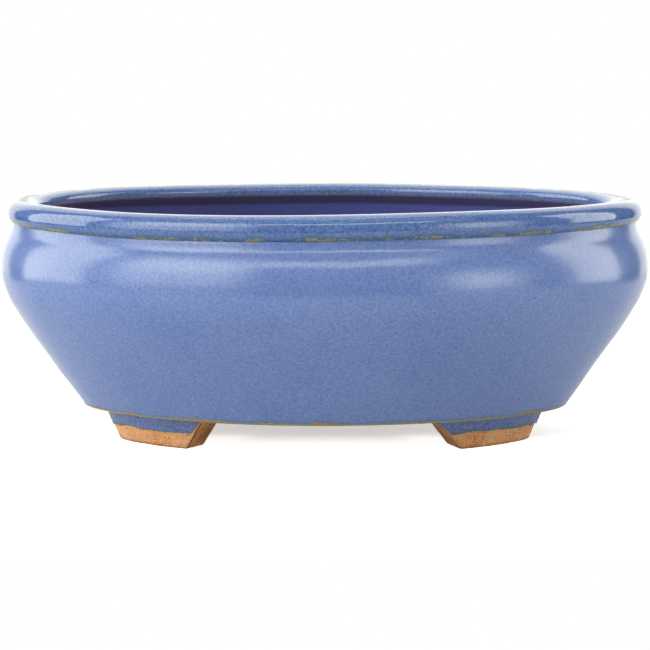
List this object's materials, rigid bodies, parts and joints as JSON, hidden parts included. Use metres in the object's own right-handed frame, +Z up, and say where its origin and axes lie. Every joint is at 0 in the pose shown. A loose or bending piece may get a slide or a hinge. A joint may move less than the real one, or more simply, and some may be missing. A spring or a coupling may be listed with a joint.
{
  "type": "bonsai pot",
  "caption": "Oval glazed stoneware bonsai pot with flared wall, round shoulder, recessed neck, thick rolled rim, drainage holes in the floor and cut corner feet.",
  "frame": {"origin": "on the ground under the middle of the pot, in the plane of the feet's bottom faces", "axes": "+X along the long side to the viewer's right, +Y to the back, +Z up out of the mouth"},
  "size_m": [0.3, 0.236, 0.112],
  "materials": {
    "clay": "bare fired clay, sandy",
    "body_glaze": "semi-gloss",
    "rim_glaze": "gloss",
    "foot_glaze": "semi-gloss"
  },
  "bodies": {
    "root": {"floor_slab": "clay", "wall": "clay", "rim": "clay", "wall_glaze": "body_glaze", "rim_glaze": "rim_glaze", "foot_front_left": "clay", "foot_front_right": "clay", "foot_back_left": "clay", "foot_back_right": "clay", "foot_glaze_front_left": "foot_glaze", "foot_glaze_front_right": "foot_glaze", "foot_glaze_back_left": "foot_glaze", "foot_glaze_back_right": "foot_glaze"}
  },
  "joints": []
}
